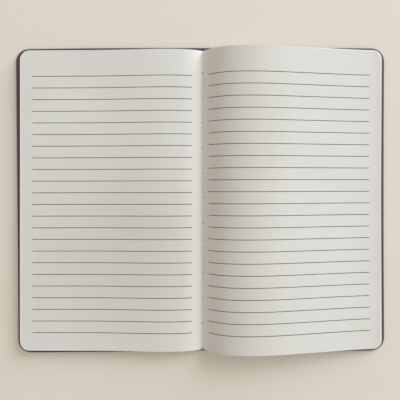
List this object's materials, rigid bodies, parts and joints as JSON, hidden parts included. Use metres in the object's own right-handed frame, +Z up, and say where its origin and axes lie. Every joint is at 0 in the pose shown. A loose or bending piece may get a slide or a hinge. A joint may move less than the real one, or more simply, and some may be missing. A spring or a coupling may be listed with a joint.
{
  "type": "open notebook",
  "caption": "Lined paper notebook lying open and flat, with a thin grained cover, rounded corners and leaves sewn in the fold.",
  "frame": {"origin": "middle of the underside of the open cover, on the surface that the notebook lies on", "axes": "+X from the spine to the right page's fore edge, +Y from the foot to the head of the pages, +Z up"},
  "size_m": [0.2535, 0.2108, 0.0164],
  "materials": {
    "cover": "fine grain, satin",
    "paper": "matte",
    "cloth": "matte",
    "ink": "printed, matte",
    "thread": "matte"
  },
  "bodies": {
    "book": {"page_block": "paper", "spine_cover": "cover", "spine_lining": "cloth", "sewing_thread": "thread", "left_ruling": "ink", "right_ruling": "ink"},
    "front_cover": {"front_cover": "cover", "front_endpaper": "paper"},
    "back_cover": {"back_cover": "cover", "back_endpaper": "paper"}
  },
  "joints": [
    {"name": "front_cover_fold", "type": "hinge", "parent": "book", "child": "front_cover", "pos_m": [-0.006, 0, 0], "axis": [0, -1, 0], "range_deg": [0, 90]},
    {"name": "back_cover_fold", "type": "hinge", "parent": "book", "child": "back_cover", "pos_m": [0.006, 0, 0], "axis": [0, 1, 0], "range_deg": [0, 90]}
  ]
}
